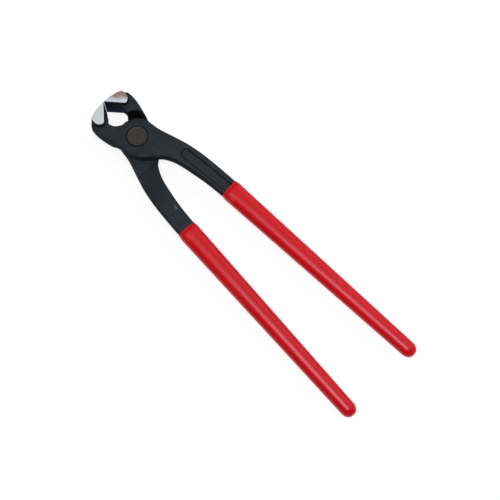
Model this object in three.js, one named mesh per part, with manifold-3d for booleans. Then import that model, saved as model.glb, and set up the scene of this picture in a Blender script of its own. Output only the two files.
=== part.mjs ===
// End-cutting fencing nippers, 280 mm long: two forged levers that cross at a riveted
// lap joint, each with a dipped plastic grip. Both levers are the same forging; the
// rear one is the front one turned half a turn about the tool's long axis.
//
// Frame: millimetres. The pivot axis is Z, the jaws point along +Y and the handles
// along -Y. The origin is the centre of the rivet's rear face. Outlines are drawn for
// the front lever, whose jaw lies on the -X side and whose handle lies on the +X side,
// with heights measured from the joint's mid plane.
import * as THREE from 'three';
import { mergeVertices } from 'three/addons/utils/BufferGeometryUtils.js';
import Module from 'manifold-3d';

const wasm = await Module();
wasm.setup();

// Driving dimensions.
const EDGE_Y = 34.1;          // cutting edges, ahead of the pivot
const GRIP_START_Y = -72;     // mouth of the grips
const GRIP_END_Y = -245.9;    // closed end of the grips
const HANDLE_END_Y = -242;    // end of the steel inside a grip
const PLATE_TOP = 7.8;        // outer face of a joint plate
const JAW_HALF_DEPTH = 12.5;   // half of a cutting edge's length
const JOINT_GAP = 0.3;        // between the two plates, and between the closed edges
const RIVET_REACH = 9.2;      // rivet faces, from the mid plane
const EDGE_ROUND = 1.7;       // rounding of the forged outer edges

const SHANK_R = 5;
const HOLE_R = 5.3;
const HEAD_R = 7.3;
const SPOTFACE_R = 8.1;
const SPOTFACE_DEPTH = 0.8;

const DISC_R = 13.5;          // round edge of the joint plate under the mouth
const JAW_RECESS_R = [15.9, 19.1];  // coned clearance in the jaw: at the joint face, at the jaw's face
const HANDLE_RECESS_Y = -21.4; // the joint face ends here and the handle's inner face slopes away

const HANDLE_TOP = 4.8;       // handle's faces where it enters the grip
const SLOPE_START_Y = -22.8;  // the outer face starts to fall towards the handle
const BACK_SLOPE_END_Y = -48; // the inner face has reached its full depth
const HANDLE_HALF_WIDTH = [6.7, 4.1];   // at the grip's mouth and at the far end
const HANDLE_HALF_THICK = [4.8, 3.6];
const GRIP_CLEARANCE = 0.3;
const GRIP_WALL = 1;
const GRIP_SLANT_X = [20.95, 29.8];     // centreline at the grip's mouth and end

const PANEL_WIDTH = 6.9;      // long recess in the handle's outer face
const PANEL_DEPTH = 0.8;
const PANEL_TOP = [16.1, -33.2];
const PANEL_FOOT = [20.9, -75];

const FAR = 60;               // reach of cutters that run out of the part

// ---- Points and outlines --------------------------------------------------------

function vectors(pairs) {
  return pairs.map(([x, y]) => new THREE.Vector2(x, y));
}

function curve(pairs, segments) {
  return new THREE.SplineCurve(vectors(pairs)).getPoints(segments);
}

function arc(radius, startDeg, endDeg, segments, centre = [0, 0]) {
  const start = THREE.MathUtils.degToRad(startDeg);
  const end = THREE.MathUtils.degToRad(endDeg);
  const clockwise = endDeg < startDeg;
  const round = new THREE.EllipseCurve(centre[0], centre[1], radius, radius, start, end, clockwise);
  return round.getPoints(segments);
}

// The forging's outer edge: handle outside, handle inside, plate, and the jaw's back.
function blankOutline() {
  const handleOutside = curve([
    [14.1, 2.4], [14.9, -3.6], [16.2, -9.2], [19.6, -19.6], [22.8, -30.6], [25.1, -43.4],
    [26.6, -58.2], [27.5, -72.3],
  ], 18);
  const handleInside = curve([
    [14.3, -72.3], [12.7, -57.5], [10, -42.5], [7.1, -32], [3, -24.2], [-0.6, -20.9],
    [-4.8, -17.4], [-10.1, -12.2], [-13.4, -4.2], [-14.2, 2.4],
  ], 24);
  const jawBack = curve([
    [-14.2, 2.4], [-16.4, 10.6], [-17.95, 17], [-18.75, 23.8], [-18.1, 29.3], [-15.9, 33.7],
    [-11.6, 36.6],
  ], 14).slice(1);
  const aboveMouth = vectors([[-11.6, 40], [4, 40], [4, 12.9]]);
  const discEdge = arc(DISC_R, 73, 9, 9);
  return [...handleOutside, ...handleInside, ...jawBack, ...aboveMouth, ...discEdge.slice(0, -1)];
}

// Everything inside the mouth and across the centre line: a right-angled vee under the
// cutting edge, a round corner, and the oval lower edge that runs into the disc.
function mouthOutline() {
  const half = JOINT_GAP / 2;
  const cheek = curve([
    [-4.3, 26.9], [-6.7, 24.5], [-7.7, 22.4], [-7.8, 20.3], [-7.2, 18.3], [-6, 16.5], [-4, 14.8],
    [-2.1, 13.75],
  ], 12);
  const disc = arc(DISC_R, 93, 60, 5);
  return [...vectors([[FAR, FAR], [-half, FAR], [-half, EDGE_Y - 0.2]]), ...cheek, ...disc,
    ...vectors([[FAR, 12.2]])];
}

// Everything ahead of the jaw's end face, which falls away towards the back.
function endOutline() {
  const face = curve([[-28, 20], [-18.4, 28.3], [-13.2, 31.7], [-7.9, 33.2], [-2, 33.9], [FAR / 10, EDGE_Y]], 10);
  return [...face, ...vectors([[FAR / 10, FAR], [-28, FAR]])];
}

// The raised land beside the cutting edge; the mouth and the end face trim it.
function padOutline() {
  const foot = curve([
    [-15.8, 29.5], [-15.8, 26.8], [-15, 24.5], [-13.5, 22.8], [-11.5, 22], [-9.7, 22.2], [-7.8, 24.3],
  ], 10);
  return [...vectors([[2, 40], [-15.8, 40]]), ...foot, ...vectors([[-0.5, 32.6], [2, 34]])];
}

// ---- Solids ----------------------------------------------------------------------

function prism(points, low, high, round = 0) {
  const geometry = new THREE.ExtrudeGeometry(new THREE.Shape(points), {
    depth: high - low - 2 * round,
    bevelEnabled: round > 0,
    bevelSize: round,
    bevelThickness: round,
    bevelOffset: -round,
    bevelSegments: 3,
  });
  return geometry.translate(0, 0, low + round);
}

function drum(radius, low, high, sides = 40) {
  const geometry = new THREE.CylinderGeometry(radius, radius, high - low, sides);
  return geometry.rotateX(Math.PI / 2).translate(0, 0, (low + high) / 2);
}

function toSolid(geometry) {
  const plain = geometry.clone();
  plain.deleteAttribute('normal');
  plain.deleteAttribute('uv');
  const merged = mergeVertices(plain, 1e-4);
  return new wasm.Manifold(new wasm.Mesh({
    numProp: 3,
    vertProperties: new Float32Array(merged.attributes.position.array),
    triVerts: new Uint32Array(merged.index.array),
  }));
}

function toGeometry(solid) {
  const mesh = solid.getMesh();
  const geometry = new THREE.BufferGeometry();
  geometry.setAttribute('position', new THREE.BufferAttribute(mesh.vertProperties, 3));
  geometry.setIndex(new THREE.BufferAttribute(mesh.triVerts, 1));
  return geometry;
}

function joined(base, ...others) {
  return others.reduce((solid, other) => solid.add(toSolid(other)), base);
}

function cut(base, ...cutters) {
  return cutters.reduce((solid, cutter) => solid.subtract(toSolid(cutter)), base);
}

// ---- Handle and grip share one straight, tapering bar -----------------------------

// Along the bar, 0 is the grip's mouth and 1 is the grip's closed end.
function alongGrip(range, t) {
  return THREE.MathUtils.lerp(range[0], range[1], t);
}

function gripPoint(t, side) {
  const y = alongGrip([GRIP_START_Y, GRIP_END_Y], t);
  return [alongGrip(GRIP_SLANT_X, t) + side, y];
}

// A bar from t = start to its round tip at tipY, grown sideways by `growth`.
function bar(start, growth, tipY, round) {
  const length = GRIP_START_Y - GRIP_END_Y;
  const tip = (GRIP_START_Y - tipY) / length;
  const tipHalfWidth = alongGrip(HANDLE_HALF_WIDTH, tip) + growth;
  const shoulder = tip - tipHalfWidth / length;
  const tipArc = [];
  const steps = 8;
  for (let i = 0; i <= steps; i += 1) {
    const angle = Math.PI * i / steps;
    const t = shoulder + (tip - shoulder) * Math.sin(angle);
    tipArc.push(gripPoint(t, tipHalfWidth * Math.cos(angle)));
  }
  const startHalfWidth = alongGrip(HANDLE_HALF_WIDTH, start) + growth;
  const outline = vectors([gripPoint(start, -startHalfWidth), ...tipArc.reverse(),
    gripPoint(start, startHalfWidth)]);
  const startHalfThick = HANDLE_HALF_THICK[0] + growth;
  const geometry = prism(outline, -startHalfThick, startHalfThick, round);
  return thinTowardsTip(geometry, startHalfThick, growth);
}

// Heights shrink evenly from the grip's mouth to its tip, so flat faces stay flat.
function thinTowardsTip(geometry, startHalfThick, growth) {
  const tipHalfThick = HANDLE_HALF_THICK[1] + growth;
  const position = geometry.attributes.position;
  for (let i = 0; i < position.count; i += 1) {
    const t = (position.getY(i) - GRIP_START_Y) / (GRIP_END_Y - GRIP_START_Y);
    const scale = THREE.MathUtils.lerp(1, tipHalfThick / startHalfThick, t);
    position.setZ(i, position.getZ(i) * scale);
  }
  return geometry;
}

// ---- Sub-parts ---------------------------------------------------------------------

// A wedge over the handle's outer face, from the plate's height down to the grip's.
function slopeCutter() {
  const slope = Math.atan2(PLATE_TOP - HANDLE_TOP, SLOPE_START_Y - GRIP_START_Y);
  return new THREE.BoxGeometry(2 * FAR, 2 * FAR, 10)
    .translate(0, -FAR, 5)
    .rotateX(slope)
    .translate(0, SLOPE_START_Y, PLATE_TOP);
}

function panelCutter() {
  const [topX, topY] = PANEL_TOP;
  const [footX, footY] = PANEL_FOOT;
  const length = Math.hypot(footX - topX, footY - topY);
  const radius = PANEL_WIDTH / 2;
  const outline = [...arc(radius, 0, 180, 12), ...vectors([[-radius, -length], [radius, -length]])];
  const slope = Math.atan2(PLATE_TOP - HANDLE_TOP, SLOPE_START_Y - GRIP_START_Y);
  const faceAtTop = PLATE_TOP - (SLOPE_START_Y - topY) * Math.tan(slope);
  return prism(outline, -PANEL_DEPTH, 10)
    .rotateZ(Math.atan2(footX - topX, topY - footY))
    .rotateX(slope)
    .translate(topX, topY, faceAtTop);
}

// Room for the other lever's plate to turn in: a cone ahead of the pivot, and a flat
// joint face behind it.
function turningRecess() {
  const [innerR, outerR] = JAW_RECESS_R;
  const face = JOINT_GAP / 2;
  const spread = (outerR - innerR) / PLATE_TOP;
  const depth = 2 * PLATE_TOP;
  const cone = new THREE.CylinderGeometry(innerR, innerR + spread * depth, depth, 60)
    .rotateX(Math.PI / 2)
    .translate(0, 0, face - depth / 2);
  const behind = new THREE.BoxGeometry(FAR, -HANDLE_RECESS_Y, depth)
    .translate(0, HANDLE_RECESS_Y / 2, face - depth / 2);
  return [cone, behind];
}

// The handle's inner face slopes from the joint face down to the grip's depth.
function handleBackCutters() {
  const run = HANDLE_RECESS_Y - BACK_SLOPE_END_Y;
  const slope = Math.atan2(HANDLE_TOP + JOINT_GAP / 2, run);
  const ramp = new THREE.BoxGeometry(2 * FAR, FAR, 20)
    .translate(0, -FAR / 2, -10)
    .rotateX(slope)
    .translate(0, HANDLE_RECESS_Y, JOINT_GAP / 2);
  const level = new THREE.BoxGeometry(2 * FAR, 2 * FAR, 20)
    .translate(0, -FAR - 8, -10 - HANDLE_TOP);
  return [ramp, level];
}

function leverGeometry() {
  const blank = toSolid(prism(blankOutline(), -PLATE_TOP, PLATE_TOP, EDGE_ROUND));
  const forged = joined(
    cut(blank, slopeCutter(), ...handleBackCutters()),
    bar(-0.05, -0.1, HANDLE_END_Y, 1.4),
    prism(padOutline(), 7, JAW_HALF_DEPTH),
    prism(padOutline(), -JAW_HALF_DEPTH, -7),
  );
  const machined = cut(
    forged,
    prism(mouthOutline(), -FAR, FAR),
    prism(endOutline(), -FAR, FAR),
    ...turningRecess(),
    panelCutter(),
    drum(HOLE_R, -FAR, FAR),
    drum(SPOTFACE_R, PLATE_TOP - SPOTFACE_DEPTH, FAR),
  );
  return toGeometry(machined);
}

function gripGeometry() {
  const sleeve = toSolid(bar(0, GRIP_CLEARANCE + GRIP_WALL, GRIP_END_Y, 4.2));
  const hollow = bar(-0.1, GRIP_CLEARANCE, HANDLE_END_Y - GRIP_CLEARANCE, 1.6);
  return toGeometry(cut(sleeve, hollow));
}

// A straight shank between two low, flat-topped heads with rounded rims.
function rivetGeometry() {
  const headBase = PLATE_TOP - SPOTFACE_DEPTH + 0.2;
  const half = [[SHANK_R, headBase], [HEAD_R, headBase], [HEAD_R, headBase + 0.9],
    [HEAD_R - 0.5, RIVET_REACH - 0.3], [HEAD_R - 1.6, RIVET_REACH]];
  const upper = [...half, [0, RIVET_REACH]];
  const lower = upper.map(([radius, height]) => [radius, -height]).reverse();
  const profile = vectors([...lower, ...upper]);
  return new THREE.LatheGeometry(profile, 40).rotateX(Math.PI / 2);
}

// ---- Materials ----------------------------------------------------------------------

function forgedSteel() {
  return new THREE.MeshStandardMaterial({ color: 0x363a3d, roughness: 0.5, metalness: 0.6 });
}

function rivetSteel() {
  return new THREE.MeshStandardMaterial({ color: 0x3e3c39, roughness: 0.55, metalness: 0.6 });
}

function redPlastic() {
  return new THREE.MeshStandardMaterial({ color: 0xcf1f26, roughness: 0.3, metalness: 0 });
}

// ---- Assembly -----------------------------------------------------------------------

function part(name, geometry, material, turned) {
  const mesh = new THREE.Mesh(geometry, material);
  mesh.name = name;
  mesh.rotation.y = turned ? Math.PI : 0;
  return mesh;
}

const tool = new THREE.Group();
tool.position.z = RIVET_REACH;
tool.add(
  part('front_lever', leverGeometry(), forgedSteel(), false),
  part('rear_lever', leverGeometry(), forgedSteel(), true),
  part('front_grip', gripGeometry(), redPlastic(), false),
  part('rear_grip', gripGeometry(), redPlastic(), true),
  part('pivot_rivet', rivetGeometry(), rivetSteel(), false),
);

export default tool;
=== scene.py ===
"""End-cutting fencing nippers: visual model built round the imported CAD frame.

Lengths in the shape code are millimetres in the front lever's own coordinates: the
pivot axis is Z, +Y runs to the cutting edges and heights count from the joint's mid
plane. The rear lever is the same shape turned half a turn about Y.
"""
import math

import bpy
import numpy as np
from mathutils import Matrix, Vector


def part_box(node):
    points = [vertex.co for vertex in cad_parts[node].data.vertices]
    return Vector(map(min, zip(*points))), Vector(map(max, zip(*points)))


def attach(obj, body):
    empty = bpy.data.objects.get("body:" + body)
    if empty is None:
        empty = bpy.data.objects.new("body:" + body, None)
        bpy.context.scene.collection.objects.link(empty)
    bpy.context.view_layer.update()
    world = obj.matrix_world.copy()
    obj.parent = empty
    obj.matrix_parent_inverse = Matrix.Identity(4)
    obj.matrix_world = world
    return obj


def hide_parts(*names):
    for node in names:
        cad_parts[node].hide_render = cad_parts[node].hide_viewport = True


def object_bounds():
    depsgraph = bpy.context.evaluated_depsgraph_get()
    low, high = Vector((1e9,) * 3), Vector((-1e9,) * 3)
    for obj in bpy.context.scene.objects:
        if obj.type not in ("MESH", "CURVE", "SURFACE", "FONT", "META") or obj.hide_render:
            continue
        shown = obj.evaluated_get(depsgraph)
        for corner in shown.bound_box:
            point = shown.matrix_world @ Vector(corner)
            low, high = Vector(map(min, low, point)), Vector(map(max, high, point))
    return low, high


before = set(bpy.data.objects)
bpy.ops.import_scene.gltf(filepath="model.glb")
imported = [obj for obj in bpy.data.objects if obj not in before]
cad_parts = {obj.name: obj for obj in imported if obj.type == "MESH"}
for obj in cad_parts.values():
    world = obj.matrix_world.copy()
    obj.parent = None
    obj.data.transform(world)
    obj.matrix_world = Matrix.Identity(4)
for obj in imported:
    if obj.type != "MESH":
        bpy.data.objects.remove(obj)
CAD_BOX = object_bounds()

MM = 0.001
RIVET_LOW, RIVET_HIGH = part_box("pivot_rivet")
GRIP_LOW, GRIP_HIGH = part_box("front_grip")
LEVER_LOW, LEVER_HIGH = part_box("front_lever")
MID_Z = (RIVET_LOW.z + RIVET_HIGH.z) / 2 / MM
RIVET_REACH = (RIVET_HIGH.z - RIVET_LOW.z) / 2 / MM
JAW_HALF_DEPTH = (LEVER_HIGH.z - LEVER_LOW.z) / 2 / MM
EDGE_Y = LEVER_HIGH.y / MM
HANDLE_END_Y = LEVER_LOW.y / MM
GRIP_START_Y = GRIP_HIGH.y / MM
GRIP_END_Y = GRIP_LOW.y / MM

# ---- Dimensions of the forging ---------------------------------------------------------------

PLATE_TOP = 7.8          # outer face of the plate at the joint
FACE_GAP = 0.15          # half the clearance between the joint faces
EDGE_GAP = 0.01          # half the gap left between the cutting edges
EDGE_LAND = 0.1          # length of the flat where the cutting edges meet
EDGE_ROUND = 1.5         # forged edges
MACHINED_ROUND = 0.28    # machined edges
BARREL = 0.6             # how far a forged side pulls in at the plate's faces
HOLE_R = 5.3
SPOTFACE_R = 8.1
SPOTFACE_DEPTH = 0.75
SPOTFACE_ROUND = 0.2
DISC_R = 13.5            # the plate's round end beside the mouth
STEP_R = 15.9            # the jaw's coned clearance at the joint face
STEP_SPREAD = 0.42       # and its growth per millimetre of depth
STEP_SCALE = 0.9         # makes the cone's field a true distance, near enough
HANDLE_RECESS_Y = -21.4  # where the joint face ends
SLOPE_START_Y = -22.8    # where the outer face starts to fall
SLOPE_SOFTNESS = 4.0
BACK_SLOPE_END_Y = -48.0
BACK_EDGE_GROWTH = 1.3   # the handle's inner edges turn from machined to forged
BACK_EDGE_REACH = 9.0    # over this length
HANDLE_TOP = 4.8
HANDLE_CUT_Y = -77       # the forged outlines run this far into the grip
TANG_START_Y = -73       # the bar inside the grip runs from here
TANG_ROUND = 3.3
TANG_END_ROUND = 2.5
TANG_FILLET = 0.3
HALF_WIDTH = (6.7, 4.1)  # the bar inside the grip, at its mouth and at its closed end
HALF_THICK = (4.8, 3.6)
SLANT_X = (20.95, 29.8)  # its centre line
PAD_TAPER = 0.2          # how much a pad narrows per millimetre of height
PAD_ROUND = 0.3
PAD_FILLET = 0.5
MOUTH_ROUND = 0.35       # the mouth's rim
MOUTH_SHARPENING = 0.31  # taken off it at the cutting edge
END_ROUND = 0.4          # the end face's rim
END_SHARPENING = 0.36    # taken off it at the cutting edge
PANEL_HALF = 3.45
PANEL_DEPTH = 0.9
PANEL_FOOT_ROUND = 0.5
PANEL_RIM_ROUND = 0.3
PANEL_TOP = (16.1, -33.2)
PANEL_FOOT = (22.5, -89)
BLANK_FAR = 40           # outlines that a later cut trims run out to these
FAR = 60

HANDLE_OUTSIDE = [
    (14.1, 2.4), (14.9, -3.6), (16.2, -9.2), (19.6, -19.6), (22.8, -30.6), (25.1, -43.4),
    (26.6, -58.2), (27.6, -72.3), (27.9, HANDLE_CUT_Y),
]
HANDLE_INSIDE = [
    (14.6, HANDLE_CUT_Y), (14.2, -72.3), (12.7, -57.5), (10, -42.5), (7.1, -32), (3, -24.2),
    (-0.6, -20.9), (-4.8, -17.4), (-10.1, -12.2), (-13.4, -4.2), (-14.2, 2.4),
]
JAW_BACK = [
    (-14.2, 2.4), (-16.4, 10.6), (-17.95, 17), (-18.75, 23.8), (-18.1, 29.3),
    (-15.9, 33.7), (-11.6, 36.6),
]
MOUTH_CHEEK = [
    (-4.3, 26.9), (-6.7, 24.5), (-7.7, 22.4), (-7.8, 20.3), (-7.2, 18.3),
    (-6.0, 16.5), (-4.0, 14.8), (-2.1, 13.75),
]
END_FACE = [(-28, 20), (-18.4, 28.3), (-13.2, 31.7), (-7.9, 33.2), (-2, 33.9), (6, 34.1)]
PAD_FOOT = [
    (-16.1, 29.4), (-16.2, 26.8), (-15.4, 24.2), (-13.7, 22.4), (-11.5, 21.5),
    (-9.7, 21.9), (-7.7, 24.0),
]


# ---- Curves and fields -----------------------------------------------------------------------

def spline(points, count):
    """A smooth curve through the points, as count + 1 samples."""
    pts = np.array(points, float)
    last = len(pts) - 1
    t = np.linspace(0, last, count + 1)
    i = np.minimum(t.astype(int), last - 1)
    w = (t - i)[:, None]
    p0, p1 = pts[np.maximum(i - 1, 0)], pts[i]
    p2, p3 = pts[i + 1], pts[np.minimum(i + 2, last)]
    v0, v1 = (p2 - p0) / 2, (p3 - p1) / 2
    return ((2 * p1 - 2 * p2 + v0 + v1) * w ** 3
            + (-3 * p1 + 3 * p2 - 2 * v0 - v1) * w ** 2 + v0 * w + p1)


def arc(radius, start, end, count):
    """Points on a circle about the pivot, in degrees."""
    a = np.radians(np.linspace(start, end, count + 1))
    return np.stack([radius * np.cos(a), radius * np.sin(a)], 1)


def blank_outline():
    """The whole forging in plan, before the mouth and the end are cut."""
    return np.concatenate([
        spline(HANDLE_OUTSIDE, 48), spline(HANDLE_INSIDE, 72), spline(JAW_BACK, 40)[1:],
        [(JAW_BACK[-1][0], BLANK_FAR), (4, BLANK_FAR), (4, 12.9)], arc(DISC_R, 73, 9, 22)[:-1],
    ])


def mouth_outline():
    """What is cut away inside the mouth and past the centre line."""
    return np.concatenate([
        [(FAR, FAR), (-EDGE_GAP, FAR), (-EDGE_GAP, EDGE_Y - EDGE_LAND)],
        spline(MOUTH_CHEEK, 36), arc(DISC_R, 93, 60, 14), [(FAR, 12.2)],
    ])


def end_outline():
    """What is ground away beyond the end face."""
    return np.concatenate([
        spline(END_FACE, 40), [(END_FACE[-1][0], FAR), (END_FACE[0][0], FAR)],
    ])


def pad_outline():
    """The raised pad behind the cutting edge."""
    return np.concatenate([
        [(2, BLANK_FAR), (PAD_FOOT[0][0], BLANK_FAR)], spline(PAD_FOOT, 30),
        [(-0.2, 32.4), (2, 34)],
    ])


def signed_distance(px, py, outline):
    """Distance from each point to the closed outline, negative inside."""
    best = np.full(px.shape, 1e9)
    crossings = np.zeros(px.shape, bool)
    for (ax, ay), (bx, by) in zip(outline, np.roll(outline, -1, 0)):
        ex, ey = bx - ax, by - ay
        t = np.clip(((px - ax) * ex + (py - ay) * ey) / (ex * ex + ey * ey), 0, 1)
        best = np.minimum(best, (px - ax - ex * t) ** 2 + (py - ay - ey * t) ** 2)
        if ay != by:
            hit = (ay > py) != (by > py)
            crossings ^= hit & (px < ax + (py - ay) * ex / ey)
    return np.where(crossings, -1, 1) * np.sqrt(best)


class PlanField:
    """A plan outline's signed distance, sampled once on a fine grid."""
    STEP = 0.2

    def __init__(self, outline, low, high):
        self.low = low
        xs = np.arange(low[0], high[0] + self.STEP, self.STEP)
        ys = np.arange(low[1], high[1] + self.STEP, self.STEP)
        self.grid = signed_distance(*np.meshgrid(xs, ys, indexing="ij"), outline)

    def at(self, x, y):
        u = np.clip((x - self.low[0]) / self.STEP, 0, self.grid.shape[0] - 1.001)
        v = np.clip((y - self.low[1]) / self.STEP, 0, self.grid.shape[1] - 1.001)
        i, j = u.astype(int), v.astype(int)
        u, v = u - i, v - j
        g = self.grid
        return ((g[i, j] * (1 - u) + g[i + 1, j] * u) * (1 - v)
                + (g[i, j + 1] * (1 - u) + g[i + 1, j + 1] * u) * v)


def round_and(a, b, r):
    """What is inside both, with the new edge rounded to radius r."""
    return (np.minimum(np.maximum(a, b), -r)
            + np.hypot(np.maximum(a + r, 0), np.maximum(b + r, 0)))


def round_or(a, b, r):
    """What is inside either, with a fillet of radius r where they meet."""
    return (np.maximum(r, np.minimum(a, b))
            - np.hypot(np.maximum(r - a, 0), np.maximum(r - b, 0)))


def ease(low, high, value):
    """0 up to low, 1 from high on, with a smooth change between."""
    t = np.clip((value - low) / (high - low), 0, 1)
    return t * t * (3 - 2 * t)


def soft_floor(value, r):
    """max(value, 0) with its corner rounded over a width r."""
    return (value + np.sqrt(value * value + r * r)) / 2


# ---- The lever -------------------------------------------------------------------------------

FIELD_LOW, FIELD_HIGH = (-21, -79), (36, 38)
FIELDS = {
    "blank": PlanField(blank_outline(), FIELD_LOW, FIELD_HIGH),
    "mouth": PlanField(mouth_outline(), FIELD_LOW, FIELD_HIGH),
    "end": PlanField(end_outline(), FIELD_LOW, FIELD_HIGH),
    "pad": PlanField(pad_outline(), FIELD_LOW, FIELD_HIGH),
}


def along_grip(pair, y):
    """A value that runs evenly from the grip's mouth to its closed end."""
    t = (GRIP_START_Y - y) / (GRIP_START_Y - GRIP_END_Y)
    return pair[0] + (pair[1] - pair[0]) * t


def face_top(y):
    """Height of the lever's outer face."""
    fall = (PLATE_TOP - HANDLE_TOP) / (SLOPE_START_Y - GRIP_START_Y)
    return PLATE_TOP - fall * soft_floor(SLOPE_START_Y - y, SLOPE_SOFTNESS)


def face_back(y):
    """Height of the joint face; behind it the handle's inner face falls, then levels off."""
    t = np.clip((HANDLE_RECESS_Y - y) / (HANDLE_RECESS_Y - BACK_SLOPE_END_Y), 0, 1)
    return FACE_GAP - (HANDLE_TOP + FACE_GAP) * t * (0.8 + 1.4 * t - 1.2 * t * t)


def tang(x, y, z):
    """The straight tapering bar that the grip covers."""
    side = np.abs(x - along_grip(SLANT_X, y)) - along_grip(HALF_WIDTH, y)
    flat = np.abs(z) - along_grip(HALF_THICK, y)
    bar = round_and(side, flat, TANG_ROUND)
    return np.maximum(round_and(bar, HANDLE_END_Y - y, TANG_END_ROUND), y - TANG_START_Y)


def step_wall(x, y, z):
    """Distance outside the coned clearance that the other lever's plate turns in."""
    return (np.hypot(x, y) - STEP_R - STEP_SPREAD * (FACE_GAP - z)) * STEP_SCALE


def panel_plan(x, y):
    """Distance outside the long sunken panel on the handle."""
    (ax, ay), (bx, by) = PANEL_TOP, PANEL_FOOT
    ex, ey = bx - ax, by - ay
    t = np.clip(((x - ax) * ex + (y - ay) * ey) / (ex * ex + ey * ey), 0, 1)
    return np.hypot(x - ax - ex * t, y - ay - ey * t) - PANEL_HALF


def lever(x, y, z):
    """The front lever's field: negative inside the steel."""
    plan = {name: field.at(x, y) for name, field in FIELDS.items()}
    depth = np.abs(z)
    side = plan["blank"] + BARREL * (depth / PLATE_TOP) ** 2
    solid = round_and(side, z - face_top(y), EDGE_ROUND)
    solid = round_and(solid, -PLATE_TOP - z, EDGE_ROUND)
    behind = ease(HANDLE_RECESS_Y, HANDLE_RECESS_Y - BACK_EDGE_REACH, y)
    handle = round_and(solid, face_back(y) - z, MACHINED_ROUND + BACK_EDGE_GROWTH * behind)
    solid = np.where(y < HANDLE_RECESS_Y, handle, solid)
    solid = round_or(solid, tang(x, y, z), TANG_FILLET)
    pad_side = plan["pad"] + PAD_TAPER * (depth - PLATE_TOP)
    pad = round_and(pad_side, depth - JAW_HALF_DEPTH, PAD_ROUND)
    solid = round_or(solid, pad, PAD_FILLET)
    mouth_round = MOUTH_ROUND - MOUTH_SHARPENING * ease(26, 31, y)
    solid = round_and(solid, -plan["mouth"], mouth_round)
    end_round = END_ROUND - END_SHARPENING * ease(-4, -1, x)
    solid = round_and(solid, -plan["end"], end_round)
    room = round_and(np.minimum(step_wall(x, y, z), y), z - FACE_GAP, 0.01)
    room = np.maximum(room, HANDLE_RECESS_Y - y)
    solid = round_and(solid, -room, MACHINED_ROUND)
    panel = round_and(panel_plan(x, y), face_top(y) - PANEL_DEPTH - z, PANEL_FOOT_ROUND)
    solid = round_and(solid, -panel, PANEL_RIM_ROUND)
    radius = np.hypot(x, y)
    solid = np.maximum(solid, HOLE_R - radius)
    spot = np.maximum(radius - SPOTFACE_R, PLATE_TOP - SPOTFACE_DEPTH - z)
    return round_and(solid, -spot, SPOTFACE_ROUND)


def gradient(shape, p, h=0.04):
    """The field's slope at each point, by steps of h to either side."""
    g = np.empty_like(p)
    for axis in range(3):
        step = np.zeros(3)
        step[axis] = h
        g[:, axis] = (shape(*(p + step).T) - shape(*(p - step).T)) / (2 * h)
    return g


def surface_nets(shape, xs, ys, zs):
    """A quad mesh on the shape's surface: one point per crossed cell of the grid."""
    value = shape(xs[:, None, None], ys[None, :, None], zs[None, None, :])
    inside = value < 0
    corners = [(a, b, c) for a in (0, 1) for b in (0, 1) for c in (0, 1)]
    n = [s - 1 for s in value.shape]
    count = sum(inside[a:a + n[0], b:b + n[1], c:c + n[2]].astype(np.int8)
                for a, b, c in corners)
    cells = np.argwhere((count > 0) & (count < 8))
    number = np.full(n, -1)
    number[tuple(cells.T)] = np.arange(len(cells))
    i, j, k = cells.T
    at = np.stack([value[i + a, j + b, k + c] for a, b, c in corners], 1)
    total, hits = np.zeros((len(cells), 3)), np.zeros(len(cells))
    for p, first in enumerate(corners):
        for q, second in enumerate(corners):
            if p < q and sum(u != v for u, v in zip(first, second)) == 1:
                crossed = (at[:, p] < 0) != (at[:, q] < 0)
                share = at[crossed, p] / (at[crossed, p] - at[crossed, q])
                u, v = np.array(first, float), np.array(second, float)
                total[crossed] += u + (v - u) * share[:, None]
                hits[crossed] += 1
    total /= hits[:, None]
    points = np.stack([grid[c] + (grid[c + 1] - grid[c]) * t
                       for grid, c, t in zip((xs, ys, zs), (i, j, k), total.T)], 1)
    quads = []
    for axis in range(3):
        after = [slice(None)] * 3
        before = [slice(None)] * 3
        after[axis], before[axis] = slice(1, None), slice(None, -1)
        flips = np.argwhere(inside[tuple(after)] != inside[tuple(before)])
        u, v = [other for other in range(3) if other != axis]
        flips = flips[(flips[:, u] > 0) & (flips[:, v] > 0)
                      & (flips[:, u] < n[u]) & (flips[:, v] < n[v])]
        ring = []
        for du, dv in ((0, 0), (-1, 0), (-1, -1), (0, -1)):
            cell = flips.copy()
            cell[:, u] += du
            cell[:, v] += dv
            ring.append(number[tuple(cell.T)])
        ring = np.stack(ring, 1)
        leaving = inside[tuple(flips.T)]
        turn = leaving if axis != 1 else ~leaving
        ring[~turn] = ring[~turn][:, ::-1]
        quads.append(ring)
    quads = np.concatenate(quads)
    return points, quads[(quads >= 0).all(1)]


def settle(shape, points, rounds=3):
    """Moves the points onto the surface."""
    for _ in range(rounds):
        g = gradient(shape, points)
        move = shape(*points.T)[:, None] * g / np.maximum((g * g).sum(1), 0.05)[:, None]
        points = points - np.clip(move, -0.2, 0.2)
    return points


def unit(v):
    """Each row at length 1."""
    return v / np.maximum(np.linalg.norm(v, axis=1), 1e-9)[:, None]


# ---- Meshes ----------------------------------------------------------------------------------

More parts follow.
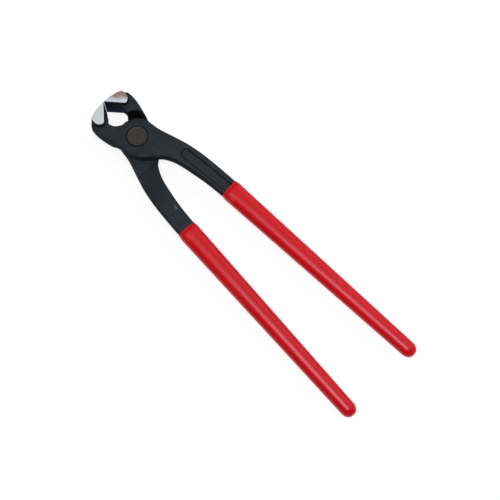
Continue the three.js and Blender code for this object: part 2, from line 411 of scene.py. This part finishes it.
def make_mesh(name, points, faces, normals=None, values=None):
    """A smooth object from millimetre points; values become named float attributes."""
    mesh = bpy.data.meshes.new(name)
    mesh.vertices.add(len(points))
    mesh.vertices.foreach_set("co", (points * MM).astype(np.float32).ravel())
    sizes = np.array([len(f) for f in faces], np.int32)
    starts = np.concatenate([[0], np.cumsum(sizes)[:-1]]).astype(np.int32)
    corners = np.concatenate([np.array(f) for f in faces]).astype(np.int32)
    mesh.loops.add(len(corners))
    mesh.loops.foreach_set("vertex_index", corners)
    mesh.polygons.add(len(faces))
    mesh.polygons.foreach_set("loop_start", starts)
    mesh.polygons.foreach_set("loop_total", sizes)
    mesh.update(calc_edges=True)
    mesh.validate()
    mesh.shade_smooth()
    for key, value in (values or {}).items():
        attribute = mesh.attributes.new(key, "FLOAT", "POINT")
        attribute.data.foreach_set("value", value.astype(np.float32))
    if normals is not None:
        mesh.normals_split_custom_set_from_vertices(normals.astype(np.float32))
    piece = bpy.data.objects.new(name, mesh)
    bpy.context.scene.collection.objects.link(piece)
    return piece


def placed(points, turned):
    """From the front lever's coordinates to the row frame."""
    sign = -1 if turned else 1
    return points * [sign, 1, sign]


FINE = 0.33              # the mesh's cells where the lever shows
MARGIN = 0.7             # grid left free around the lever
MESH_X = (-19.82, 35.6)
HIDDEN_Y = -78           # inside the grip the cells are longer


def lever_mesh():
    """(points, faces, normals) of the front lever."""
    xs = np.arange(*MESH_X, FINE)
    ys = np.concatenate([
        np.linspace(HANDLE_END_Y - 1.5, HIDDEN_Y, 66)[:-1],
        np.arange(HIDDEN_Y, EDGE_Y + 0.9, FINE),
    ])
    zs = np.arange(-JAW_HALF_DEPTH - MARGIN, JAW_HALF_DEPTH + MARGIN + 0.01, FINE)
    points, quads = surface_nets(lever, xs, ys, zs)
    points = settle(lever, points)
    normals = unit(gradient(lever, points))
    return points, quads, normals


def lever_marks(points, normals):
    """How each point of a lever was finished, and where light and shade are painted on it, from
    0 to 1.
    """
    x, y, z = points.T
    depth = np.abs(z)
    reach, gain = 0.9, 1.6
    inward = (lever(*(points - normals * reach).T) + reach) / reach
    outward = (reach - lever(*(points + normals * reach).T)) / reach
    end = FIELDS["end"].at(x, y)
    mouth = FIELDS["mouth"].at(x, y)
    flat = ease(JAW_HALF_DEPTH - 0.2, JAW_HALF_DEPTH - 0.04, depth)
    ground = np.maximum(flat, ease(0.25, 0.05, np.abs(end)) * (y > 20))
    # painted shade: the coned step wall beside the other lever's plate, darkened almost to
    # black in the material
    step = ease(0.5, 0.15, np.abs(step_wall(x, y, z))) * (z < FACE_GAP + 0.2) * (y > 0)
    step = step * ease(-2.5, -3.5, FIELDS["blank"].at(x, y))
    wall = ease(0.75, 0.3, np.abs(normals[:, 2]))
    return {
        # convex edges: wear and a painted sheen in the material
        "edge": np.clip(inward * gain, 0, 1),
        # painted shade: concave creases, darkened nearly to black in the material
        "painted_crease_shade": np.clip(outward * gain, 0, 1),
        "ground": ground,
        "mouth": ease(0.5, 0.2, np.abs(mouth)) * (y > 11) * (1 - flat),
        "step": step,
        # steep side walls: rougher, and darkened as painted shade in the material
        "wall": wall * (1 - ground),
        # painted shade: the sunken panel's steep rim walls, darkened in the material
        "panel_rim_shade": (ease(0.75, 0.3, np.abs(panel_plan(x, y) + 0.05))
                 * (z > 0) * ease(-28, -31, y)),
    }


# ---- The grips -------------------------------------------------------------------------------

GRIP_WALL = (1.05, 1.5)  # at the mouth and at the closed end
GRIP_AROUND = 72
GRIP_SLOT = 0.25         # between the bar and the sleeve
LIP_WALL = 0.45
LIP_ROUND = 0.35
TIP_REACH = 6.2          # length of the domed end


def grip_rings():
    """(points, faces) of one dipped sleeve: outside, rolled mouth, closed round tip."""
    around = GRIP_AROUND
    angle = np.linspace(0, 2 * math.pi, around, endpoint=False)
    length = GRIP_START_Y - GRIP_END_Y
    slant = (SLANT_X[1] - SLANT_X[0]) / length
    rows = []

    def ring(y, half_w, half_t, power):
        """A rounded oblong across the grip: the higher the power, the squarer."""
        c, s = np.cos(angle), np.sin(angle)
        x = half_w * np.sign(c) * np.abs(c) ** (2 / power)
        z = half_t * np.sign(s) * np.abs(s) ** (2 / power)
        rows.append(np.stack([along_grip(SLANT_X, y) + x, y + x * slant, z], 1))

    # The bore, from inside outwards, then the rolled lip, the outside and the domed end.
    inner_w, inner_t = HALF_WIDTH[0] + GRIP_SLOT, HALF_THICK[0] + GRIP_SLOT
    for deep in (9.0, 6.0, 3.0, 1.2):
        ring(GRIP_START_Y - deep, inner_w + 0.25, inner_t + 0.25, 5)
    for turn in np.linspace(0, math.pi / 2, 5):
        lift = LIP_WALL * (1 - math.cos(turn)) - 0.05
        ring(GRIP_START_Y - LIP_ROUND * (1 - math.sin(turn)),
             inner_w + lift, inner_t + lift, 4.6)
    for d in np.concatenate([np.linspace(0.12, 1.0, 5), np.linspace(1.5, 8, 12),
                             np.linspace(10, length - TIP_REACH, 70)]):
        y = GRIP_START_Y - d
        wall = LIP_WALL + (along_grip(GRIP_WALL, y) - LIP_WALL) * ease(-0.5, 3.5, d)
        power = 2.5 - 0.3 * d / length + 0.9 * ease(10, 0, d)
        ring(y, along_grip(HALF_WIDTH, y) + wall, along_grip(HALF_THICK, y) + wall, power)
    for turn in np.linspace(0, math.pi / 2, 15)[1:-1]:
        y = GRIP_END_Y + TIP_REACH * (1 - math.sin(turn))
        base_w = along_grip(HALF_WIDTH, y) + GRIP_WALL[1]
        base_t = along_grip(HALF_THICK, y) + GRIP_WALL[1]
        k = math.cos(turn) ** 0.8
        ring(y, base_w * k, base_t * k, 2.15 - 0.05 * turn)
    points = np.concatenate(rows + [[[along_grip(SLANT_X, GRIP_END_Y), GRIP_END_Y, 0]]])
    faces = []
    for r in range(len(rows) - 1):
        for i in range(around):
            j = (i + 1) % around
            faces.append((r * around + i, (r + 1) * around + i,
                          (r + 1) * around + j, r * around + j))
    last, tip = (len(rows) - 1) * around, len(points) - 1
    faces += [(last + i, tip, last + (i + 1) % around) for i in range(around)]
    return points, faces


# ---- The rivet -------------------------------------------------------------------------------

HEAD_R = (RIVET_HIGH.x - RIVET_LOW.x) / 2 / MM
SHANK_R = 5.0
HEAD_CLEARANCE = 0.12    # under the head
HEAD_CHAMFER = 0.2
RIM_ROUND = 0.85
DISH = [(5.9, 0), (5.5, 0.09), (5.1, 0.12), (4.6, 0.06), (3.4, 0.05), (1.8, 0.08), (0.6, 0.1)]
RIVET_AROUND = 96


def rivet_mesh():
    """A lathed rivet: plain shank, two low heads with a rolled rim and a faint dished top."""
    base = PLATE_TOP - SPOTFACE_DEPTH + HEAD_CLEARANCE
    rim_r, rim_z = HEAD_R - RIM_ROUND, RIVET_REACH - RIM_ROUND
    head = [(SHANK_R, base), (HEAD_R - HEAD_CHAMFER, base), (HEAD_R, base + HEAD_CHAMFER),
            (HEAD_R, rim_z)]
    for turn in np.linspace(0, math.pi / 2, 9)[1:]:
        head.append((rim_r + RIM_ROUND * math.cos(turn), rim_z + RIM_ROUND * math.sin(turn)))
    head += [(r, RIVET_REACH - sunk) for r, sunk in DISH]
    profile = [(r, -h) for r, h in head[::-1]] + [(SHANK_R, 0)] + head
    around = RIVET_AROUND
    angle = np.linspace(0, 2 * math.pi, around, endpoint=False)
    rows = [np.stack([r * np.cos(angle), r * np.sin(angle), np.full(around, h)], 1)
            for r, h in profile]
    points = np.concatenate(rows + [[[0, 0, profile[0][1]], [0, 0, profile[-1][1]]]])
    faces = []
    for k in range(len(rows) - 1):
        for i in range(around):
            j = (i + 1) % around
            faces.append((k * around + i, k * around + j,
                          (k + 1) * around + j, (k + 1) * around + i))
    low, high = len(points) - 2, len(points) - 1
    top = (len(rows) - 1) * around
    for i in range(around):
        j = (i + 1) % around
        faces.append((low, j, i))
        faces.append((high, top + i, top + j))
    return points, faces


# ---- Materials -------------------------------------------------------------------------------

class Nodes:
    """Short calls for building one node material."""

    def __init__(self, name):
        self.material = bpy.data.materials.new(name)
        self.material.use_nodes = True
        self.tree = self.material.node_tree
        self.shader = self.tree.nodes["Principled BSDF"]

    def link(self, source, target):
        self.tree.links.new(source, target)

    def put(self, socket, value):
        """Links a socket's value, or sets a plain one."""
        if hasattr(value, "is_linked"):
            self.link(value, socket)
        else:
            socket.default_value = value

    def noise(self, size_mm, detail, rough, stretch=(1, 1, 1)):
        """Noise fixed to the piece, with blotches of about the given size."""
        place = self.tree.nodes.new("ShaderNodeTexCoord").outputs["Object"]
        scaled = self.tree.nodes.new("ShaderNodeMapping")
        scaled.inputs["Scale"].default_value = tuple(s / (size_mm * MM) for s in stretch)
        self.link(place, scaled.inputs["Vector"])
        node = self.tree.nodes.new("ShaderNodeTexNoise")
        self.link(scaled.outputs["Vector"], node.inputs["Vector"])
        node.inputs["Scale"].default_value = 1.0
        node.inputs["Detail"].default_value = detail
        node.inputs["Roughness"].default_value = rough
        return node.outputs["Fac"]

    def attribute(self, name):
        node = self.tree.nodes.new("ShaderNodeAttribute")
        node.attribute_name = name
        return node.outputs["Fac"]

    def math(self, operation, a, b):
        node = self.tree.nodes.new("ShaderNodeMath")
        node.operation = operation
        self.put(node.inputs[0], a)
        self.put(node.inputs[1], b)
        return node.outputs[0]

    def times(self, a, b):
        return self.math("MULTIPLY", a, b)

    def ramp(self, value, low, high, to_low=0.0, to_high=1.0):
        """to_low up to low, to_high from high on."""
        node = self.tree.nodes.new("ShaderNodeMapRange")
        self.put(node.inputs["Value"], value)
        node.inputs["From Min"].default_value = low
        node.inputs["From Max"].default_value = high
        node.inputs["To Min"].default_value = to_low
        node.inputs["To Max"].default_value = to_high
        return node.outputs["Result"]

    def mix_value(self, factor, a, b):
        """A number between a and b."""
        node = self.tree.nodes.new("ShaderNodeMix")
        self.put(node.inputs["Factor"], factor)
        self.put(node.inputs[2], a)
        self.put(node.inputs[3], b)
        return node.outputs[0]

    def mix(self, factor, a, b):
        """A colour between a and b."""
        node = self.tree.nodes.new("ShaderNodeMix")
        node.data_type = "RGBA"
        self.put(node.inputs["Factor"], factor)
        self.put(node.inputs[6], a)
        self.put(node.inputs[7], b)
        return node.outputs[2]

    def bump(self, height, distance_mm, strength, normal=None):
        node = self.tree.nodes.new("ShaderNodeBump")
        node.inputs["Distance"].default_value = distance_mm * MM
        node.inputs["Strength"].default_value = strength
        self.link(height, node.inputs["Height"])
        if normal is not None:
            self.link(normal, node.inputs["Normal"])
        return node.outputs["Normal"]


def rgb(r, g, b):
    """A linear colour from 0-255 screen values."""
    def linear(v):
        v /= 255
        return v / 12.92 if v < 0.04045 else ((v + 0.055) / 1.055) ** 2.4
    return (linear(r), linear(g), linear(b), 1)


def steel_material(name, tint_strength):
    """Forging scale, worn at the edges, with the ground faces bare; painted shade darkens
    creases, side walls, the coned step and the panel's rim, and a painted sheen lightens the
    edges along with the wear.
    """
    n = Nodes(name)
    cloud = n.noise(14, 3, 0.6)
    mottle = n.noise(2.2, 4, 0.6)
    grain = n.noise(0.35, 2, 0.6)
    lines = n.noise(0.16, 2, 0.6, stretch=(0.25, 1, 1))
    ground, wall = n.attribute("ground"), n.attribute("wall")

    oxide_and_painted_light = n.mix(n.ramp(cloud, 0.35, 0.65), rgb(40, 43, 46), rgb(42, 49, 55))
    oxide_and_painted_light = n.mix(n.ramp(mottle, 0.45, 0.75, 0, 0.5), oxide_and_painted_light, rgb(24, 24, 25))
    patchy = n.ramp(mottle, 0.35, 0.65, 0.35, 1.0)
    # painted sheen and wear: convex edges lightened towards purple-grey in patches
    edge_wear_and_sheen = n.times(n.ramp(n.attribute("edge"), 0.3, 0.75), patchy)
    oxide_and_painted_light = n.mix(n.times(edge_wear_and_sheen, 0.55), oxide_and_painted_light, rgb(74, 71, 84))
    # painted shade: concave creases darkened nearly to black
    oxide_and_painted_light = n.mix(n.ramp(n.attribute("painted_crease_shade"), 0.15, 0.6, 0, 0.75), oxide_and_painted_light, rgb(8, 8, 9))
    # painted shade: steep side walls darkened
    oxide_and_painted_light = n.mix(n.times(wall, 0.6), oxide_and_painted_light, rgb(16, 16, 17))
    # painted shade: the coned step wall and its groove, darkened almost to black
    oxide_and_painted_light = n.mix(n.times(n.attribute("step"), 0.9), oxide_and_painted_light, rgb(5, 5, 5))
    oxide_and_painted_light = n.mix(n.times(n.attribute("mouth"), 0.85), oxide_and_painted_light, rgb(23, 36, 62))
    # painted shade: dark lines along the sunken panel's rim walls
    oxide_and_painted_light = n.mix(n.times(n.attribute("panel_rim_shade"), 0.75), oxide_and_painted_light, rgb(8, 8, 9))
    rubbed = n.times(n.attribute("scuff"), n.ramp(grain, 0.3, 0.6, 0.1, 0.6))
    oxide_and_painted_light = n.mix(rubbed, oxide_and_painted_light, rgb(120, 122, 125))
    bright = n.mix(n.ramp(lines, 0.3, 0.7), rgb(200, 208, 213), rgb(219, 226, 231))
    if tint_strength:
        tint = n.times(n.attribute("tint"), tint_strength)
        bright = n.mix(tint, bright, rgb(142, 108, 90))
    n.link(n.mix(ground, oxide_and_painted_light, bright), n.shader.inputs["Base Color"])
    n.link(n.times(ground, 0.3), n.shader.inputs["Metallic"])
    n.shader.inputs["Specular IOR Level"].default_value = 0.1

    scale = n.math("ADD", n.ramp(mottle, 0.3, 0.7, 0.4, 0.52), n.times(edge_wear_and_sheen, -0.08))
    scale = n.mix_value(wall, scale, 0.95)
    rough = n.mix_value(ground, scale, n.ramp(lines, 0.3, 0.7, 0.36, 0.46))
    n.link(rough, n.shader.inputs["Roughness"])

    waves = n.bump(n.noise(5.5, 3, 0.5), 0.12, 0.6)
    pits = n.math("ADD", n.times(mottle, 0.6), n.times(grain, 0.4))
    n.link(n.bump(pits, 0.05, 0.55, waves), n.shader.inputs["Normal"])
    return n.material


def rivet_material():
    """Browned steel, rougher than the levers."""
    n = Nodes("rivet_oxide")
    mottle = n.noise(1.6, 4, 0.65)
    grain = n.noise(0.4, 3, 0.6)
    colour = n.mix(n.ramp(mottle, 0.35, 0.65), rgb(38, 38, 38), rgb(50, 46, 42))
    colour = n.mix(n.ramp(grain, 0.5, 0.8, 0, 0.6), colour, rgb(62, 56, 48))
    n.link(colour, n.shader.inputs["Base Color"])
    n.shader.inputs["Specular IOR Level"].default_value = 0.3
    n.link(n.ramp(mottle, 0.3, 0.7, 0.42, 0.6), n.shader.inputs["Roughness"])
    n.link(n.bump(n.math("ADD", mottle, grain), 0.09, 0.6), n.shader.inputs["Normal"])
    return n.material


def grip_material():
    """Glossy red plastic, faintly uneven from dipping."""
    n = Nodes("red_dipped_plastic")
    cloud = n.noise(26, 2, 0.5, stretch=(1, 0.35, 1))
    speck = n.noise(0.9, 3, 0.6)
    wave = n.noise(9, 2, 0.4, stretch=(1, 0.4, 1))
    colour = n.mix(n.ramp(cloud, 0.35, 0.65), rgb(196, 0, 8), rgb(206, 2, 12))
    colour = n.mix(n.ramp(speck, 0.6, 0.85, 0, 0.12), colour, rgb(166, 2, 8))
    n.link(colour, n.shader.inputs["Base Color"])
    n.link(n.ramp(cloud, 0.3, 0.7, 0.26, 0.34), n.shader.inputs["Roughness"])
    n.shader.inputs["Specular IOR Level"].default_value = 0.34
    n.shader.inputs["Specular Tint"].default_value = (1.0, 0.7, 0.85, 1)
    uneven = n.math("ADD", n.times(wave, 0.5), n.times(speck, 0.02))
    n.link(n.bump(uneven, 0.25, 0.35), n.shader.inputs["Normal"])
    return n.material


# ---- Pieces ----------------------------------------------------------------------------------

SIDES = (("front", "front_half", False), ("rear", "rear_half", True))
LIFT = [0, 0, MID_Z]
HEAT_TINT = 0.85         # strength of the heat colour on the rear jaw's ground corner
HEAT_LEAN = (0.73, 0.68)  # it deepens this way
HEAT_RANGE = (23.8, 28.6)
SCUFF = (-16, -56)       # the rear handle's one rubbed spot, in the row frame
SCUFF_SIZE = (0.9, 1.6)


def side_marks(points, turned):
    """The marks that the two levers don't share."""
    x, y, z = points.T
    heat = HEAT_LEAN[0] * x + HEAT_LEAN[1] * y + 0.35 * np.sin(x * 0.9)
    across = ((x - SCUFF[0]) / SCUFF_SIZE[0]) ** 2
    along = ((y - SCUFF[1]) / SCUFF_SIZE[1]) ** 2
    return {
        "tint": ease(*HEAT_RANGE, heat) * ease(-9, 7, z),
        "scuff": np.exp(-across - along) * (z > -6) * turned,
    }


def finish_piece(piece, material, body, node):
    """Gives a piece its material and its body, and hides the CAD node that it stands for."""
    piece.data.materials.append(material)
    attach(piece, body)
    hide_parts(node)


points, quads, normals = lever_mesh()
marks = lever_marks(points, normals)
for side, body, turned in SIDES:
    seen = placed(points, turned)
    values = {**marks, **side_marks(seen, turned)}
    made = make_mesh("steel_" + side, seen + LIFT, quads, placed(normals, turned), values)
    steel = steel_material("oxide_steel_and_painted_light_" + side, HEAT_TINT if turned else 0.0)
    finish_piece(made, steel, body, side + "_lever")

grip_points, grip_faces = grip_rings()
red = grip_material()
for side, body, turned in SIDES:
    made = make_mesh("sleeve_" + side, placed(grip_points, turned) + LIFT, grip_faces)
    finish_piece(made, red, body, side + "_grip")

rivet_points, rivet_faces = rivet_mesh()
made = make_mesh("rivet_turned", rivet_points + LIFT, rivet_faces)
finish_piece(made, rivet_material(), "rear_half", "pivot_rivet")

# ---- Floor, light and camera -----------------------------------------------------------------

LOW, HIGH = CAD_BOX
MIDDLE = (LOW + HIGH) / 2
FLOOR_REACH = 4.0        # metres
FLOOR_SHADE = 0.3
FLOOR_GLOW = 0.79        # lifts the floor to the picture's white without washing out shadows


def floor():
    """A pale floor that the object lies on."""
    corners = [(x * FLOOR_REACH, y * FLOOR_REACH, LOW.z)
               for x, y in ((-1, -1), (1, -1), (1, 1), (-1, 1))]
    mesh = bpy.data.meshes.new("floor")
    mesh.from_pydata(corners, [], [(0, 1, 2, 3)])
    plane = bpy.data.objects.new("floor", mesh)
    bpy.context.scene.collection.objects.link(plane)
    n = Nodes("pale_floor")
    n.shader.inputs["Base Color"].default_value = (FLOOR_SHADE, FLOOR_SHADE, FLOOR_SHADE, 1)
    n.shader.inputs["Roughness"].default_value = 0.9
    n.shader.inputs["Specular IOR Level"].default_value = 0.1
    n.shader.inputs["Emission Color"].default_value = (1, 1, 1, 1)
    n.shader.inputs["Emission Strength"].default_value = FLOOR_GLOW
    mesh.materials.append(n.material)


def lamp(name, direction, distance, size, power):
    """A square soft light, size metres wide, aimed at the object's middle."""
    data = bpy.data.lights.new(name, "AREA")
    data.shape = "SQUARE"
    data.size = size
    data.energy = power
    thing = bpy.data.objects.new(name, data)
    bpy.context.scene.collection.objects.link(thing)
    thing.location = MIDDLE + direction.normalized() * distance
    thing.rotation_mode = "QUATERNION"
    thing.rotation_quaternion = (MIDDLE - thing.location).to_track_quat("-Z", "Y")


SPIN = math.radians(45.53)   # the picture's up direction, from +X towards +Y
TILT = math.radians(12.0)    # how far the camera leans from straight down
AWAY = 1.0                   # metres
SENSOR = 36
LENS = 102.58
TARGET = Vector((0.55 * MM, -113.68 * MM, MID_Z * MM))
FORWARD = Vector((math.cos(SPIN), math.sin(SPIN), 0))
ACROSS = Vector((math.sin(SPIN), -math.cos(SPIN), 0))
RISE = FORWARD * math.cos(TILT) + Vector((0, 0, math.sin(TILT)))
OUT = -FORWARD * math.sin(TILT) + Vector((0, 0, math.cos(TILT)))


def view_direction(right, up, towards):
    """A direction given as the picture sees it."""
    return ACROSS * right + RISE * up + OUT * towards


def camera():
    data = bpy.data.cameras.new("camera")
    data.sensor_width = SENSOR
    data.lens = LENS
    data.clip_start, data.clip_end = 0.05, 20
    thing = bpy.data.objects.new("camera", data)
    bpy.context.scene.collection.objects.link(thing)
    thing.location = TARGET + OUT * AWAY
    thing.rotation_mode = "QUATERNION"
    thing.rotation_quaternion = Matrix((ACROSS, RISE, OUT)).transposed().to_quaternion()
    bpy.context.scene.camera = thing


def studio():
    """White surroundings, dim at the horizon and brighter overhead."""
    world = bpy.data.worlds.new("studio")
    world.use_nodes = True
    tree = world.node_tree
    background = tree.nodes["Background"]
    background.inputs["Color"].default_value = (1, 1, 1, 1)
    split = tree.nodes.new("ShaderNodeSeparateXYZ")
    coordinates = tree.nodes.new("ShaderNodeTexCoord")
    tree.links.new(coordinates.outputs["Generated"], split.inputs[0])
    strength = tree.nodes.new("ShaderNodeMapRange")
    for name, value in (("From Min", 0.0), ("From Max", 0.75),
                        ("To Min", 0.12), ("To Max", 0.28)):
        strength.inputs[name].default_value = value
    tree.links.new(split.outputs["Z"], strength.inputs["Value"])
    tree.links.new(strength.outputs["Result"], background.inputs["Strength"])
    bpy.context.scene.world = world


floor()
camera()
lamp("key", view_direction(0.0, 0.1, 1.0), 1.3, 0.4, 8.0)
lamp("fill", view_direction(0.8, 0.7, 0.7), 1.6, 1.5, 10.0)
studio()
bpy.context.scene.view_settings.view_transform = "Standard"
bpy.context.scene.view_settings.look = "None"
